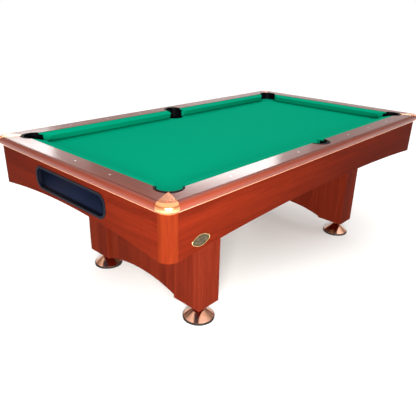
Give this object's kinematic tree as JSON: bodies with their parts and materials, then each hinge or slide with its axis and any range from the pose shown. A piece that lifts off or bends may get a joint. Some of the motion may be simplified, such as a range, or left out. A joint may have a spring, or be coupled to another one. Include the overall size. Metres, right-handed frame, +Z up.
{
  "type": "pool table",
  "caption": "Slate-bed pool table with cushioned rails, drop pockets, an end ball return and arched pedestals on screw feet that level it.",
  "frame": {"origin": "on the floor, under the middle of the bed", "axes": "+X along the table towards the head end, with the ball return at -X; -Y is the long side with the badge; +Z up"},
  "size_m": [2.292, 1.302, 0.812],
  "materials": {
    "slate": "honed",
    "green_cloth": "napped wool cloth",
    "rail_wood": "gloss lacquer",
    "copper_metal": "polished copper tone",
    "black_plastic": "satin",
    "panel_wood": "gloss lacquer",
    "post_wood": "gloss lacquer",
    "box_plastic": "satin",
    "frame_wood": "plain sawn",
    "leg_wood": "gloss lacquer",
    "pad_rubber": "matte",
    "fastener_steel": "zinc plated",
    "pearl": "pearl",
    "badge_brass": "aged"
  },
  "bodies": {
    "table": {"slate_return": "slate", "slate_middle": "slate", "slate_head": "slate", "bed_cloth": "green_cloth", "cushion_return_end": "green_cloth", "cushion_head_end": "green_cloth", "cushion_front_return": "green_cloth", "cushion_front_head": "green_cloth", "cushion_back_return": "green_cloth", "cushion_back_head": "green_cloth", "rail_return_end": "rail_wood", "rail_head_end": "rail_wood", "rail_front": "rail_wood", "rail_back": "rail_wood", "casting_return_front": "copper_metal", "casting_return_back": "copper_metal", "casting_head_front": "copper_metal", "casting_head_back": "copper_metal", "liner_return_front": "black_plastic", "liner_return_back": "black_plastic", "liner_head_front": "black_plastic", "liner_head_back": "black_plastic", "liner_side_front": "black_plastic", "liner_side_back": "black_plastic", "trim_strips": "copper_metal", "panel_return_end": "panel_wood", "panel_head_end": "panel_wood", "panel_front": "panel_wood", "panel_back": "panel_wood", "post_return_front": "post_wood", "post_return_back": "post_wood", "post_head_front": "post_wood", "post_head_back": "post_wood", "return_bezel": "black_plastic", "ball_box": "box_plastic", "trough_front": "box_plastic", "trough_back": "box_plastic", "beam_front": "frame_wood", "beam_back": "frame_wood", "seam_board_return": "frame_wood", "seam_board_head": "frame_wood", "leg_return_front": "leg_wood", "leg_return_back": "leg_wood", "leg_head_front": "leg_wood", "leg_head_back": "leg_wood", "arch_web_return": "leg_wood", "arch_web_head": "leg_wood", "foot_inserts": "fastener_steel", "sights": "pearl", "badge": "badge_brass", "rail_bolts": "fastener_steel", "leg_bolts": "fastener_steel"},
    "foot_base_return_front": {"pad_return_front": "pad_rubber"},
    "foot_screw_return_front": {"cone_return_front": "copper_metal"},
    "foot_base_return_back": {"pad_return_back": "pad_rubber"},
    "foot_screw_return_back": {"cone_return_back": "copper_metal"},
    "foot_base_head_front": {"pad_head_front": "pad_rubber"},
    "foot_screw_head_front": {"cone_head_front": "copper_metal"},
    "foot_base_head_back": {"pad_head_back": "pad_rubber"},
    "foot_screw_head_back": {"cone_head_back": "copper_metal"}
  },
  "joints": [
    {"name": "level_return_front", "type": "slide", "parent": "table", "child": "foot_base_return_front", "axis": [0, 0, -1], "range_m": [0, 0.02]},
    {"name": "turn_return_front", "type": "hinge", "parent": "foot_base_return_front", "child": "foot_screw_return_front", "pos_m": [-0.695, -0.3785, 0.05], "axis": [0, 0, -1], "range_deg": [0, 3600]},
    {"name": "level_return_back", "type": "slide", "parent": "table", "child": "foot_base_return_back", "axis": [0, 0, -1], "range_m": [0, 0.02]},
    {"name": "turn_return_back", "type": "hinge", "parent": "foot_base_return_back", "child": "foot_screw_return_back", "pos_m": [-0.695, 0.3785, 0.05], "axis": [0, 0, -1], "range_deg": [0, 3600]},
    {"name": "level_head_front", "type": "slide", "parent": "table", "child": "foot_base_head_front", "axis": [0, 0, -1], "range_m": [0, 0.02]},
    {"name": "turn_head_front", "type": "hinge", "parent": "foot_base_head_front", "child": "foot_screw_head_front", "pos_m": [0.695, -0.3785, 0.05], "axis": [0, 0, -1], "range_deg": [0, 3600]},
    {"name": "level_head_back", "type": "slide", "parent": "table", "child": "foot_base_head_back", "axis": [0, 0, -1], "range_m": [0, 0.02]},
    {"name": "turn_head_back", "type": "hinge", "parent": "foot_base_head_back", "child": "foot_screw_head_back", "pos_m": [0.695, 0.3785, 0.05], "axis": [0, 0, -1], "range_deg": [0, 3600]}
  ],
  "couplings": [
    {"joint": "level_return_front", "follows": "turn_return_front", "m_per_rad": 0.00031831},
    {"joint": "level_return_back", "follows": "turn_return_back", "m_per_rad": 0.00031831},
    {"joint": "level_head_front", "follows": "turn_head_front", "m_per_rad": 0.00031831},
    {"joint": "level_head_back", "follows": "turn_head_back", "m_per_rad": 0.00031831}
  ]
}
